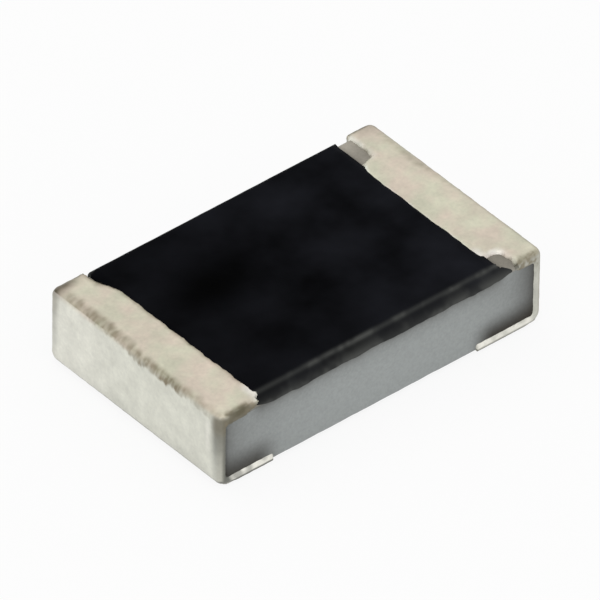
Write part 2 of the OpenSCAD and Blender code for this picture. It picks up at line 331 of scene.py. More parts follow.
class EndPlating:
    """Where the plating of one end reaches. A point is given by its distance in from the end face, its
    place across and its height, on the box that the plating would be if its edges were sharp."""

    def __init__(self, end, sizes):
        tin_low, tin_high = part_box("tin_plating_" + end)
        core_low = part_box("end_electrode_" + end)[0]
        print_low, print_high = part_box("top_electrode_" + end)
        plating = core_low.z - tin_low.z
        right = end == "right"
        self.sizes = sizes
        self.side = ENDS[end]
        self.end_x = tin_high.x if right else tin_low.x
        self.half_w = tin_high.y
        self.top = tin_high.z
        self.pad = tin_high.x - tin_low.x
        coat_end = COAT_HIGH.x if right else COAT_LOW.x
        self.tongue = abs(self.end_x - coat_end) + sizes.tongue_lap
        self.tongue_low = print_low.y - plating
        self.tongue_high = print_high.y + plating
        self.band_near = getattr(sizes, f"band_{end}_near")
        self.band_far = getattr(sizes, f"band_{end}_far")
        self.lap = getattr(sizes, "lap_" + end)
        # A few cells of the grid past the furthest border
        self.reach = max(self.pad, self.tongue) + 4 * sizes.tin_step
        body_end = BODY_HIGH.x if right else BODY_LOW.x
        self.body_end = abs(self.end_x - body_end)

    def face(self, point):
        """Name of the face of the sharp box that a point lies on."""
        u, y, z = point
        if z > self.top - NEAR:
            return "top"
        if z < NEAR:
            return "bottom"
        if abs(y) > self.half_w - NEAR:
            return "side"
        return "end" if u < NEAR else "open"

    def ways(self, point):
        """Directions in which a point can move and stay on its face."""
        face = self.face(point)
        along = Vector((1, 0, 0))
        if face == "side":
            return (along, Vector((0, 0, 1)))
        if abs(point.y) > self.half_w - NEAR:
            return (along,)
        return (along, Vector((0, 1, 0)))

    def band(self, y):
        """Plated length of the top, apart from the tongue."""
        return mixed(self.band_near, self.band_far, smooth_step(-self.half_w, self.half_w, y))

    def cover(self, point):
        """Distance of a point from the plating's border, positive on the plating."""
        u, y, z = point
        face = self.face(point)
        if face == "end":
            return FAR
        if face == "open":
            return -FAR
        sizes = self.sizes
        soft = 0.02 * MM
        place = Vector((u * self.side, y, z))
        stray = sizes.waver * (ripple(place, 0.06 * MM, 1) + 0.6 * ripple(place, 0.022 * MM, 2))
        if face == "bottom":
            return self.pad - u - sizes.waver + stray
        if face == "side":
            rise = 0.4 * max(u - 0.155 * MM, 0.0)
            strip = blend_min(self.band(y) - u, z - sizes.strip - rise, soft)
            foot = blend_min(self.pad - u - sizes.waver, sizes.creep - z, soft)
            return blend_max(blend_max(strip, self.lap - u, soft), foot, soft) + 0.5 * stray
        along, across = self.tongue - u, self.tongue_high - y
        tongue = blend_min(blend_min(along, across, soft), y - self.tongue_low, 0.008 * MM)
        cut_along, cut_across = sizes.cut_along, sizes.cut_across
        corner = along * cut_across + across * cut_along - cut_along * cut_across
        tongue = blend_min(tongue, corner / math.hypot(cut_along, cut_across), soft)
        return blend_max(self.band(y) - u, tongue, 0.04 * MM) + stray

    def outside(self, point, inset):
        """Place on the plating's rounded outside, inset from the tin's, and the way it faces."""
        sizes = self.sizes
        foot = mixed(sizes.foot_round, sizes.pad_round, smooth_step(0.0, 0.12 * MM, point.x))
        core_low = Vector((sizes.end_round, sizes.end_round - self.half_w, foot))
        core_high = Vector((FAR, self.half_w - sizes.end_round, self.top - sizes.top_round))
        round_low = Vector((sizes.end_round, sizes.end_round, foot))
        round_high = Vector((FAR, sizes.end_round, sizes.top_round))
        place, way = rounded(point, core_low, core_high, round_low, round_high)
        return place - way * inset, way

    def room(self, place):
        """How far a place on the plating may still rise inside the solids' own box."""
        return max(min(self.half_w - abs(place.y), place.z, place.x), 0.0)

    def ground(self, point):
        """Place just under the ceramic's surface, below a point of the plating."""
        sizes = self.sizes
        low = Vector((self.body_end, BODY_LOW.y, BODY_LOW.z))
        high = Vector((FAR, BODY_HIGH.y, BODY_HIGH.z))
        radius = Vector((sizes.body_round,) * 3)
        held = Vector(min(max(p, a), b) for p, a, b in zip(point, low, high))
        place, way = rounded(held, low + radius, high - radius, radius, radius)
        over = past_bevel(place, sizes) / 2
        if over > 0:
            place -= Vector((0, math.copysign(over, place.y), over))
        return place - way * sizes.sink

    def torn(self, point):
        """Share of the torn grain along the top end edge, whose darker brownish tone is painted reflection,
        and of the darker patches on the laps over the long edges.
        """
        u, y, z = point
        across = Vector((0, y, 0))
        seed = Vector((u * self.side, y, z))
        soft = 0.012 * MM
        edge = u - (self.top - z)
        far = self.half_w - y
        # The band lies on the top by the far corner and moves down onto the end face towards the near one
        shift = 0.03 * MM * (1 - smooth_step(0.48 * MM, 0.68 * MM, far))
        low = shift - 0.048 * MM - 0.014 * MM * ripple(across, 0.05 * MM, 4)
        low -= 0.018 * MM * ripple(across, 0.016 * MM, 5)
        high = shift + 0.02 * MM + 0.018 * MM * ripple(across, 0.045 * MM, 6)
        band = smooth_step(low - 0.5 * soft, low + soft, edge)
        band *= 1 - smooth_step(high - soft, high + 2.5 * soft, edge)
        # It fades out towards the far corner and weakens by the near one
        band *= smooth_step(0.02 * MM, 0.2 * MM, far) * (1 - 0.35 * smooth_step(0.98 * MM, 1.06 * MM, far))
        # Patches, fine streaks across the edge and one darkest stretch break it up
        patchy = smooth_step(-0.7, 0.25, ripple(across, 0.11 * MM, 10) + 0.5 * ripple(seed, 0.03 * MM, 11))
        streak = ripple(Vector((0.3 * u, y, 0.3 * z)), 0.018 * MM, 19)
        band *= mixed(0.6, 1.15, smooth_step(-0.45, 0.45, streak))
        darkest = math.exp(-((far - 0.9 * MM) / (0.1 * MM)) ** 2)
        band *= mixed(0.74, 1.0, darkest) * mixed(0.66, 1.0, patchy) * (1.0 if self.side < 0 else 0.55)
        # On the laps it is patchy on the left end and speckled on the right
        side = self.half_w - abs(y) + self.top - z
        lap = 1 - smooth_step(0.015 * MM, 0.045 * MM, self.half_w - abs(y))
        high_up = smooth_step(-0.11 * MM, -0.06 * MM, z - self.top)
        lap *= high_up * smooth_step(0.02 * MM, 0.05 * MM, u + 0.3 * side)
        patch, speckle = ripple(seed, 0.05 * MM, 12), ripple(seed, 0.018 * MM, 13)
        if self.side < 0:
            lap *= smooth_step(-0.55, 0.3, patch + 0.4 * speckle)
        else:
            lap *= smooth_step(-0.15, 0.3, 0.3 * patch + speckle)
        return max(band, 0.85 * lap)

    def thinned(self, point, cover):
        """Share of the duller tone where the left tongue thins out over the overcoat."""
        if self.side > 0 or self.face(point) != "top":
            return 0.0
        across = Vector((0, point.y, 0))
        width = 0.044 * MM + 0.008 * MM * ripple(across, 0.06 * MM, 18)
        clear = smooth_step(0.07 * MM, 0.14 * MM, point.y - self.tongue_low)
        return 0.85 * clear * (1 - smooth_step(0.008 * MM, width, cover))

    def lap_darkening(self, point, way):
        """Share of the darker tone on the laps over the long top edges and round the far corners."""
        u, y, z = point
        seed = Vector((u * self.side, y, z))
        lap = smooth_step(0.25, 0.75, abs(way.y)) * smooth_step(0.33 * MM, 0.38 * MM, z)
        lap *= smooth_step(0.025 * MM, 0.06 * MM, u) * (1 - smooth_step(0.17 * MM, 0.21 * MM, u))
        lap *= mixed(0.4, 0.85, smooth_step(-0.4, 0.4, ripple(seed, 0.045 * MM, 16)))
        far = smooth_step(-0.1 * MM, -0.03 * MM, y - self.half_w)
        far *= 1 - smooth_step(0.09 * MM, 0.2 * MM, u)
        far *= smooth_step(-0.12 * MM, -0.03 * MM, z - self.top)
        far *= mixed(0.7, 1.0, smooth_step(-0.4, 0.4, ripple(seed, 0.05 * MM, 17)))
        if self.side < 0:
            return max(lap, far)
        rim = smooth_step(-0.055 * MM, -0.015 * MM, y - self.half_w)
        rim *= 1 - smooth_step(0.11 * MM, 0.18 * MM, u)
        high_up = smooth_step(-0.1 * MM, -0.03 * MM, z - self.top)
        return max(0.35 * lap, 0.4 * far, 0.75 * rim * high_up)

    def bright(self, point, cover):
        """Share of the painted highlight on the tin: along the right tongue's border, on the tongues' near
        corners, in beads along the pads' sides, on the far part of the end face and in a line by its near
        corner."""
        u, y, z = point
        seed = Vector((u * self.side, y, z))
        face = self.face(point)
        if face == "top":
            near = smooth_step(0.0, 0.05 * MM, u - self.tongue + 0.07 * MM)
            near *= 1 - smooth_step(0.04 * MM, 0.1 * MM, y - self.tongue_low)
            if self.side < 0:
                return 0.9 * near
            tongue = smooth_step(-0.03 * MM, 0.01 * MM, u - self.band(y))
            rim = 1 - smooth_step(0.008 * MM, 0.026 * MM, cover)
            broken = mixed(0.35, 1.0, smooth_step(-0.3, 0.3, ripple(seed, 0.05 * MM, 14)))
            return max(tongue * rim * broken, 0.9 * near)
        if face == "side":
            strip = smooth_step(0.024 * MM, 0.032 * MM, z) * (1 - smooth_step(0.055 * MM, 0.065 * MM, z))
            strip *= smooth_step(0.05 * MM, 0.09 * MM, u) * smooth_step(0.008 * MM, 0.02 * MM, self.pad - u)
            return strip * mixed(0.45, 1.0, smooth_step(-0.3, 0.1, ripple(seed, 0.05 * MM, 15)))
        if face == "end":
            line = math.exp(-((self.half_w + y - 0.1 * MM) / (0.014 * MM)) ** 2)
            line *= smooth_step(0.15 * MM, 0.25 * MM, z) * (1 - smooth_step(0.34 * MM, 0.39 * MM, z))
            return max(0.37 * smooth_step(0.0, 0.5 * MM, y), 0.6 * line)
        return 0.0

    def marks(self, point, way, cover):
        """Shares of the tin's tones at a point."""
        u, y, z = point
        face = self.face(point)
        corner = u + self.half_w - abs(y)
        # Painted dark reflection round the upright corners and on the side strips, strongest on the left end
        post = mixed(0.3, 0.78, smooth_step(0.05 * MM, 0.32 * MM, z))
        if face == "side":
            post = mixed(post, 0.95, smooth_step(0.0, 0.03 * MM, u))
        else:
            post *= 1 - smooth_step(0.035 * MM, 0.09 * MM, corner)
        post *= (1 - smooth_step(0.3, 0.8, way.z)) * (1.0 if self.side < 0 else 0.25)
        # Painted shade low down, towards the floor
        post = max(post, 0.15 * (1 - smooth_step(0.03 * MM, 0.13 * MM, z)))
        # Painted shade where the tin faces down, on the sides' lowest strip and the pads' inner tips; under
        # the pads only their rims get it
        under = smooth_step(0.2, 0.75, -way.z)
        if face == "bottom":
            inner = min(u, self.half_w - abs(y), self.pad - u)
            under *= 1 - smooth_step(0.015 * MM, 0.045 * MM, inner)
        elif face == "side":
            low = 1 - smooth_step(0.018 * MM, 0.028 * MM, z)
            tip = 1 - smooth_step(0.008 * MM, 0.02 * MM, self.pad - u)
            tip *= 1 - smooth_step(0.055 * MM, 0.07 * MM, z)
            under = max(under, low, 0.8 * tip)
        # Painted shade: edges and corners, where the facing turns, are darker, most of all on the right end
        turned = smooth_step(0.15, 0.65, sorted(abs(part) for part in way)[1])
        rim = turned * (0.15 if self.side < 0 else 0.6)
        # The painted shade on the upright corners turns browner and darker towards the top
        brown = 0.6 * post * smooth_step(0.27 * MM, 0.37 * MM, z)
        dark = 0.35 * post * smooth_step(0.24 * MM, 0.36 * MM, z)
        return {
            "tin_top": smooth_step(0.3, 0.8, way.z),
            "tin_corner_shade": post,
            "tin_edge_shade": max(self.torn(point), rim, self.thinned(point, cover), brown),
            "tin_dark_patch": max(self.lap_darkening(point, way), dark),
            "tin_under_shade": under,
            "tin_highlight": self.bright(point, cover),
        }


TIN_MARKS = ("tin_top", "tin_corner_shade", "tin_edge_shade", "tin_dark_patch", "tin_under_shade", "tin_highlight")


def rounded(point, core_low, core_high, round_low, round_high):
    """Moves a point of a sharp box onto the box with rounded edges. Returns its place and its facing."""
    core = Vector(min(max(p, a), b) for p, a, b in zip(point, core_low, core_high))
    radii = Vector(a if p < c else b for p, c, a, b in zip(point, core, round_low, round_high))
    way = Vector((p - c) / r for p, c, r in zip(point, core, radii)).normalized()
    place = Vector(c + w * r for c, w, r in zip(core, way, radii))
    return place, Vector(w / r for w, r in zip(way, radii)).normalized()


def plating_sheet(plating, step, inset):
    """The plating of one end as an open sheet: a gridded box, cut back to its borders, rounded and sunk
    along them. Returns the mesh with the marks of each point."""
    sizes = plating.sizes
    bm = bmesh.new()
    grid_box(bm, (0, -plating.half_w, 0), (plating.reach, plating.half_w, plating.top), step)
    trim(bm, lambda point: plating.cover(point) - inset, plating.ways, step)
    layers = {name: bm.verts.layers.float.new(name) for name in TIN_MARKS}
    for vert in bm.verts:
        point = vert.co.copy()
        cover = plating.cover(point) - inset
        place, way = plating.outside(point, inset)
        marks = plating.marks(point, way, cover)
        width = sizes.side_fall if plating.face(point) == "side" else sizes.top_fall
        lost = fall(cover, width)
        seed = Vector((point.x * plating.side, point.y, point.z))
        relief = sizes.grain * (ripple(seed, 0.03 * MM, 7) - 1)
        torn = abs(ripple(Vector((seed.x * 0.4, seed.y, seed.z * 0.4)), 0.022 * MM, 8))
        relief -= sizes.ridge * plating.torn(point) * torn
        border = smooth_step(0, width, cover) * (1 - smooth_step(width, 0.05 * MM, cover))
        if plating.face(point) == "top":
            relief += sizes.bead * border * max(ripple(seed, 0.035 * MM, 9), 0.0)
        vert.co = (place + way * min(relief, plating.room(place))).lerp(plating.ground(point), lost)
        for name, layer in layers.items():
            vert[layer] = marks[name]
    for vert in bm.verts:
        vert.co.x = plating.end_x - plating.side * vert.co.x
    if plating.side > 0:
        bmesh.ops.reverse_faces(bm, faces=bm.faces)
    return bm


# The ceramic

def past_bevel(place, sizes):
    """How far a place lies past the scribed bevel of the ceramic, in y and z together."""
    return abs(place.y) + place.z - (BODY_HIGH.y + BODY_HIGH.z - sizes.scribe_bevel)


def ceramic_depth(place, way, sizes):
    """How far behind a place the ceramic lies, straight against the way that the place faces."""
    gaps = ((place.z - BODY_HIGH.z, way.z), (abs(place.y) - BODY_HIGH.y, abs(way.y)),
            (past_bevel(place, sizes), abs(way.y) + way.z))
    return max(gap / rate for gap, rate in gaps if rate > 0.01)


def ceramic_sheet(sizes):
    """The ceramic body: a bevelled block cut into a grid, uneven on the snapped sides."""
    bm = bmesh.new()
    # Bevels lose their form on edges of a few micrometres, so the block is modelled in millimetres
    low, high, near = BODY_LOW / MM, BODY_HIGH / MM, NEAR / MM
    add_block(bm, low, high)
    long_top = [e for e in bm.edges if min(v.co.z for v in e.verts) > high.z - near
                and abs(e.verts[0].co.x - e.verts[1].co.x) > near]
    bmesh.ops.bevel(bm, geom=long_top, offset=sizes.scribe_bevel / MM, segments=1, profile=0.5,
                    affect="EDGES", material=-1)
    corners = [e for e in bm.edges if abs(e.verts[0].co.z - e.verts[1].co.z) > near
               and abs(e.verts[0].co.x - e.verts[1].co.x) < near]
    bmesh.ops.bevel(bm, geom=corners, offset=sizes.body_corner / MM, segments=5, profile=0.5,
                    affect="EDGES", material=-1)
    # Across, where little of the ceramic shows, the grid is coarser
    steps = (sizes.body_step / MM, 4 * sizes.body_step / MM, sizes.body_step / MM)
    for axis, step in enumerate(steps):
        way = Vector((0, 0, 0))
        way[axis] = 1
        span = high[axis] - low[axis]
        count = round(span / step)
        for i in range(1, count):
            place = way * (low[axis] + span * i / count)
            whole = bm.verts[:] + bm.edges[:] + bm.faces[:]
            bmesh.ops.bisect_plane(bm, geom=whole, plane_co=place, plane_no=way)
    bmesh.ops.triangulate(bm, faces=[f for f in bm.faces if len(f.verts) > 4])
    bmesh.ops.scale(bm, vec=(MM, MM, MM), verts=bm.verts)
    bm.normal_update()
    painted_shade = bm.verts.layers.float.new("painted_shade")
    bare = bm.verts.layers.float.new("bare_top")
    platings = {side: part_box("tin_plating_" + end) for end, side in ENDS.items()}
    sections = coat_sections(sizes)
    for vert in bm.verts:
        point, way = vert.co.copy(), vert.normal.copy()
        fringe = coat_fringe(point, sections[point.y > 0], sizes)
        # Painted shade next to the plated ends and above the pads, joined with the darkening just below the
        # overcoat
        vert[painted_shade] = 1 - (1 - painted_ceramic_shade(point, platings)) * (1 - fringe)
        vert[bare] = smooth_step(0.4, 0.8, way.z)
        side = smooth_step(0.3, 0.8, abs(way.y))
        relief = sizes.snap_relief * side * (0.5 + 0.35 * ripple(point, 0.12 * MM, 20) +
                                             0.25 * ripple(point, 0.04 * MM, 21))
        foot = 1 - smooth_step(0, 0.02 * MM, point.z - BODY_LOW.z)
        rim = foot * smooth_step(BODY_HIGH.y - 0.03 * MM, BODY_HIGH.y, abs(point.y))
        chipped = ripple(point, 0.07 * MM, 22) + 0.3 * ripple(point, 0.025 * MM, 23)
        relief += sizes.chip * rim * max(chipped, 0)
        vert.co -= way * relief
    return bm


def painted_ceramic_shade(point, platings):
    """Share of the painted shade on the ceramic, from 0 to 1: next to the plated ends and above the pads,
    and the darker tone of two bare patches on top.
    """
    painted_shade = 0.0
    for side, (low, high) in platings.items():
        edge = high.x if side > 0 else low.x
        inner = abs(edge - point.x)
        pad = high.x - low.x
        lap = max(inner - 0.04 * MM, 0)
        if side > 0:
            beside = 0.89 * math.exp(-lap / (0.11 * MM)) + 0.08 * math.exp(-lap / (0.6 * MM))
        else:
            beside = 0.44 * math.exp(-lap / (0.2 * MM)) + 0.2 * math.exp(-lap / (0.03 * MM))
        most, reach = (0.97, 0.15 * MM) if side > 0 else (0.86, 0.17 * MM)
        above = most * (1 - smooth_step(0, reach, point.z - 0.05 * MM))
        above *= 1 - smooth_step(pad - 0.12 * MM, pad + 0.05 * MM, inner)
        painted_shade = 1 - (1 - painted_shade) * (1 - beside) * (1 - above)
    # The bare patch by the near right tongue is darker than the others
    patch = smooth_step(0.68 * MM, 0.74 * MM, point.x) * (1 - smooth_step(-0.46 * MM, -0.4 * MM, point.y))
    # The one by the far right tongue is darker towards the tongue
    tip = smooth_step(0.6 * MM, 0.66 * MM, point.x) * smooth_step(0.36 * MM, 0.42 * MM, point.y)
    tip *= 1 - smooth_step(0.47 * MM, 0.57 * MM, point.y)
    patch_darkening = max(0.4 * patch, 0.3 * tip) * smooth_step(BODY_HIGH.z - 0.04 * MM, BODY_HIGH.z, point.z)
    return 1 - (1 - painted_shade) * (1 - patch_darkening)


# The overcoat

class CoatSection:
    """Cross section of the overcoat: flat on top, rounded over and sloped down to the ceramic's side."""

    def __init__(self, sizes, slope):
        half_w = COAT_HIGH.y
        flat = BODY_HIGH.y - slope
        drop = COAT_HIGH.z - COAT_LOW.z
        angle = math.atan2(drop, half_w - flat)
        self.radius = sizes.coat_break
        tangent = self.radius * math.tan(angle / 2)
        turn = self.radius * math.tan((math.pi / 2 - angle) / 2)
        self.flat = flat - tangent
        self.arc = self.radius * angle
        self.slope = math.hypot(half_w - flat, drop) - tangent - turn
        self.turn = self.radius * (math.pi / 2 - angle)
        self.skirt = 2 * sizes.coat_waver
        self.border = self.flat + self.arc + self.slope + self.turn
        self.span = self.border + self.skirt

    def fold(self, across):
        """Place and facing, in y and z, at a distance across the sheet from its middle."""
        side = -1 if across < 0 else 1
        rest = abs(across)
        y, z, angle = 0.0, COAT_HIGH.z, 0.0
        for run, radius in ((self.flat, 0), (self.arc, self.radius), (self.slope, 0),
                            (self.turn, self.radius), (self.skirt, 0)):
            step = min(rest, run)
            if radius:
                turned = step / radius
                y += radius * (math.sin(angle + turned) - math.sin(angle))
                z -= radius * (math.cos(angle) - math.cos(angle + turned))
                angle += turned
            else:
                y += step * math.cos(angle)
                z -= step * math.sin(angle)
            rest -= step
        return Vector((0, side * y, z)), Vector((0, side * math.sin(angle), math.cos(angle)))

    def paled(self, across):
        """Share of the paler tone at a distance across: a painted highlight along the rounded edge, and down
        the thinning slope.
        """
        past = abs(across) - self.flat - self.arc / 2
        # Painted highlight along the rounded long top edge
        edge = math.exp(-((past - 0.014 * MM) / (0.012 * MM)) ** 2)
        down = min(max(past / (self.border - self.flat - self.arc / 2), 0.0), 1.0)
        return 0.85 * edge + smooth_step(0.1, 0.4, down) * (0.08 + 1.02 * down ** 2.6)


def coat_sections(sizes):
    """Sections of the overcoat's near and far halves, found by whether y is positive."""
    return {False: CoatSection(sizes, sizes.coat_slope_near),
            True: CoatSection(sizes, sizes.coat_slope_far)}


def coat_stray(sizes, x, across):
    """How far the overcoat's side border strays from its line at a place."""
    place = (x, across, 0)
    return sizes.coat_waver * (0.7 * ripple(place, 0.14 * MM, 31) + 0.4 * ripple(place, 0.045 * MM, 32))


def coat_fringe(point, section, sizes):
    """How dark the ceramic is just below the overcoat, from 0 to 1."""
    across = math.copysign(section.border, point.y)
    below = COAT_LOW.z - coat_stray(sizes, point.x, across) - point.z
    along = min(point.x - COAT_LOW.x, COAT_HIGH.x - point.x)
    return 0.65 * math.exp(-max(below, 0) / (0.04 * MM)) * smooth_step(-0.04 * MM, 0.06 * MM, along)


def coat_sheet(sizes):
    """The overcoat as an open sheet: a flat grid cut to its outline and folded over the ceramic."""
    sections = coat_sections(sizes)
    near = sections[False]
    span = max(section.span for section in sections.values())
    low_x, high_x = COAT_LOW.x, COAT_HIGH.x + sizes.coat_run
    middle, half = (low_x + high_x) / 2, (high_x - low_x) / 2
    bm = bmesh.new()
    bmesh.ops.create_grid(bm, x_segments=round(2 * half / sizes.coat_step),
                          y_segments=round(2 * span / sizes.coat_step), size=1.0)
    bmesh.ops.scale(bm, vec=(half, span, 1), verts=bm.verts)
    bmesh.ops.translate(bm, vec=(middle, 0, 0), verts=bm.verts)

    def ends(point):
        """Distances from the overcoat's two ends."""
        run = smooth_step(near.flat + near.arc, near.border - 0.01 * MM, -point.y)
        stray = 0.5 * sizes.coat_waver * ripple(point, 0.09 * MM, 30)
        return point.x - low_x + stray, high_x - sizes.coat_run * (1 - run) - point.x + stray

    def cover(point):
        """Distance from the overcoat's border."""
        left, right = ends(point)
        lift = 0.022 * MM * (1 - smooth_step(0, 0.12 * MM, min(left, right)))
        sides = sections[point.y > 0].border - abs(point.y) + coat_stray(sizes, point.x, point.y) - lift
        return blend_min(blend_min(left, right, 0.02 * MM), sides, 0.02 * MM)

    ways = (Vector((1, 0, 0)), Vector((0, 1, 0)))
    trim(bm, cover, lambda point: ways, sizes.coat_step)
    highlight_and_thin = bm.verts.layers.float.new("highlight_and_thin")
    haze = bm.verts.layers.float.new("haze")
    for vert in bm.verts:
        point = vert.co.copy()
        section = sections[point.y > 0]
        place, way = section.fold(point.y)
        left, right = ends(point)
        thin = 1 - smooth_step(0, sizes.coat_lip, min(left, right))
        lost = fall(cover(point), sizes.side_fall)
        depth = ceramic_depth(place, way, sizes)
        relief = -sizes.coat_lip_drop * thin * smooth_step(0.78, 0.97, way.z)
        relief += 0.0008 * MM * ripple(point, 0.08 * MM, 33)
        relief -= lost * (depth + relief + sizes.sink)
        vert.co = Vector((point.x, place.y, place.z)) + way * relief
        broken = ripple((point.x, point.y, 0), 0.09 * MM, 34) + 0.4 * ripple(point, 0.03 * MM, 35)
        # The overcoat is hazier towards the right end, with one deep black patch left of the middle
        along, across = (point.x + 0.4 * MM) / (0.26 * MM), (point.y - 0.145 * MM) / (0.16 * MM)
        deep = math.exp(-along ** 2 - across ** 2)
        vert[haze] = mixed(0.75, 1.4, smooth_step(-0.5 * MM, 0.6 * MM, point.x)) * (1 - 0.95 * deep)
        vert[highlight_and_thin] = min(section.paled(point.y) * mixed(0.5, 1.2, smooth_step(-0.5, 0.45, broken)), 1.0)
    return bm


# Materials

def add_node(tree, kind, inputs=None, **settings):
    """Adds a node with its settings. Each input is a value, or the output that it is linked from."""
    made = tree.nodes.new(kind)
    for name, value in settings.items():
        setattr(made, name, value)
    for key, value in (inputs or {}).items():
        if isinstance(value, bpy.types.NodeSocket):
            tree.links.new(value, made.inputs[key])
        else:
            made.inputs[key].default_value = value
    return made


def new_material(name, **values):
    """A material with a plain shader, whose even values are set on its own sockets. Returns the material,
    its tree, the shader and the object coordinates."""
    material = bpy.data.materials.new(name)
    material.use_nodes = True
    tree = material.node_tree
    tree.nodes.clear()
    shader = add_node(tree, "ShaderNodeBsdfPrincipled", values)
    add_node(tree, "ShaderNodeOutputMaterial", {"Surface": shader.outputs["BSDF"]})
    place = add_node(tree, "ShaderNodeTexCoord").outputs["Object"]
    return material, tree, shader, place


def opaque(rgb):
    """A colour with full alpha."""
    return (*rgb, 1.0)


# Inputs and output of a colour mix
MIX_A, MIX_B, MIX_OUT = 6, 7, 2


def matte_tin(colours):
    """Matte tin, plated without a brightener: a fine, dull grain that scatters what it mirrors, warmer on
    top and a little darker there as painted shade, torn and brownish along the top end edges with painted
    dark reflection there, greyer round the corners as painted dark reflection, with painted shade under the
    pads and painted highlights along some borders."""
    material, tree, shader, place = new_material("matte_tin_plate", Metallic=1.0)
    tone = opaque(colours.tin_end)
    # Tones over the end faces' tin; the corner, edge, under and highlight tones are painted shade,
    # reflection and highlight
    for mark in TIN_MARKS:
        rgb = getattr(colours, mark)
        share = add_node(tree, "ShaderNodeAttribute", attribute_name=mark).outputs["Fac"]
        tone = add_node(tree, "ShaderNodeMix", {0: share, MIX_A: tone, MIX_B: opaque(rgb)},
                        data_type="RGBA").outputs[MIX_OUT]
    # A faint tint on top, pinkish or greenish, where the plate has aged
    age = add_node(tree, "ShaderNodeTexNoise", {"Vector": place, "Scale": 1 / (0.13 * MM), "Detail": 2.0})
    share = add_node(tree, "ShaderNodeMapRange", {"Value": age.outputs["Fac"], "From Min": 0.35,
                                                  "From Max": 0.65}).outputs["Result"]
    tint = add_node(tree, "ShaderNodeMix", {0: share, MIX_A: opaque(colours.tint_pink),
                                            MIX_B: opaque(colours.tint_green)}, data_type="RGBA")
    top = add_node(tree, "ShaderNodeAttribute", attribute_name="tin_top").outputs["Fac"]
    tone = add_node(tree, "ShaderNodeMix", {0: top, MIX_A: tone, MIX_B: tint.outputs[MIX_OUT]},
                    data_type="RGBA", blend_type="MULTIPLY").outputs[MIX_OUT]
    # Clouding of the plate over a tenth of a millimetre
    cloud = add_node(tree, "ShaderNodeTexNoise", {"Vector": place, "Scale": 1 / (0.1 * MM), "Detail": 3.0})
    shade = add_node(tree, "ShaderNodeMapRange", {"Value": cloud.outputs["Fac"], **NOISE_SPAN,
                                                  "To Min": 0.9, "To Max": 1.06}).outputs["Result"]
    # The real grain is a few micrometres across, so it is drawn coarser to show
    grain = add_node(tree, "ShaderNodeTexNoise",
                     {"Vector": place, "Scale": 1 / (0.018 * MM), "Detail": 4.0})
    speck = add_node(tree, "ShaderNodeMapRange", {"Value": grain.outputs["Fac"], **NOISE_SPAN,
                                                  "To Min": 0.94, "To Max": 1.05}).outputs["Result"]
    both = add_node(tree, "ShaderNodeMath", {0: shade, 1: speck}, operation="MULTIPLY").outputs[0]
    tone = add_node(tree, "ShaderNodeVectorMath", {0: tone, "Scale": both}, operation="SCALE").outputs[0]
    tree.links.new(tone, shader.inputs["Base Color"])
    rough = add_node(tree, "ShaderNodeMapRange",
                     {"Value": grain.outputs["Fac"], "To Min": 0.36, "To Max": 0.56})
    tree.links.new(rough.outputs["Result"], shader.inputs["Roughness"])
    bump = add_node(tree, "ShaderNodeBump", {"Height": grain.outputs["Fac"], "Strength": 0.5,
                                             "Distance": 0.003 * MM})
    tree.links.new(bump.outputs["Normal"], shader.inputs["Normal"])
    return material


def black_epoxy(colours):
    """Black epoxy, screen printed and cured: almost matt, with a faint orange peel, hazier patches, a
    painted highlight along the long top edges and paler, thinner slopes."""
    values = {"Specular IOR Level": 0.006, "Roughness": 0.5}
    material, tree, shader, place = new_material("black_epoxy_overcoat", **values)
    cloud = add_node(tree, "ShaderNodeTexNoise", {"Vector": place, "Scale": 1 / (0.35 * MM), "Detail": 3.0})
    level = add_node(tree, "ShaderNodeMapRange", {"Value": cloud.outputs["Fac"], "From Min": 0.2,
                                                  "From Max": 0.95}).outputs["Result"]
    haze = add_node(tree, "ShaderNodeAttribute", attribute_name="haze").outputs["Fac"]
    share = add_node(tree, "ShaderNodeMath", {0: level, 1: haze}, operation="MULTIPLY").outputs[0]
    tone = add_node(tree, "ShaderNodeMix", {0: share, MIX_A: opaque(colours.epoxy),
                                            MIX_B: opaque(colours.epoxy_pale)}, data_type="RGBA")
    # Painted highlight along the long top edges, and the paler thin slopes
    highlight_and_thin = add_node(tree, "ShaderNodeAttribute", attribute_name="highlight_and_thin").outputs["Fac"]
    tone = add_node(tree, "ShaderNodeMix", {0: highlight_and_thin, MIX_A: tone.outputs[MIX_OUT],
                                            MIX_B: opaque(colours.epoxy_highlight_and_thin)}, data_type="RGBA")
    tree.links.new(tone.outputs[MIX_OUT], shader.inputs["Base Color"])
    peel = add_node(tree, "ShaderNodeTexNoise", {"Vector": place, "Scale": 1 / (0.04 * MM), "Detail": 2.0})
    bump = add_node(tree, "ShaderNodeBump", {"Height": peel.outputs["Fac"], "Strength": 0.25,
                                             "Distance": 0.002 * MM})
    tree.links.new(bump.outputs["Normal"], shader.inputs["Normal"])
    return material


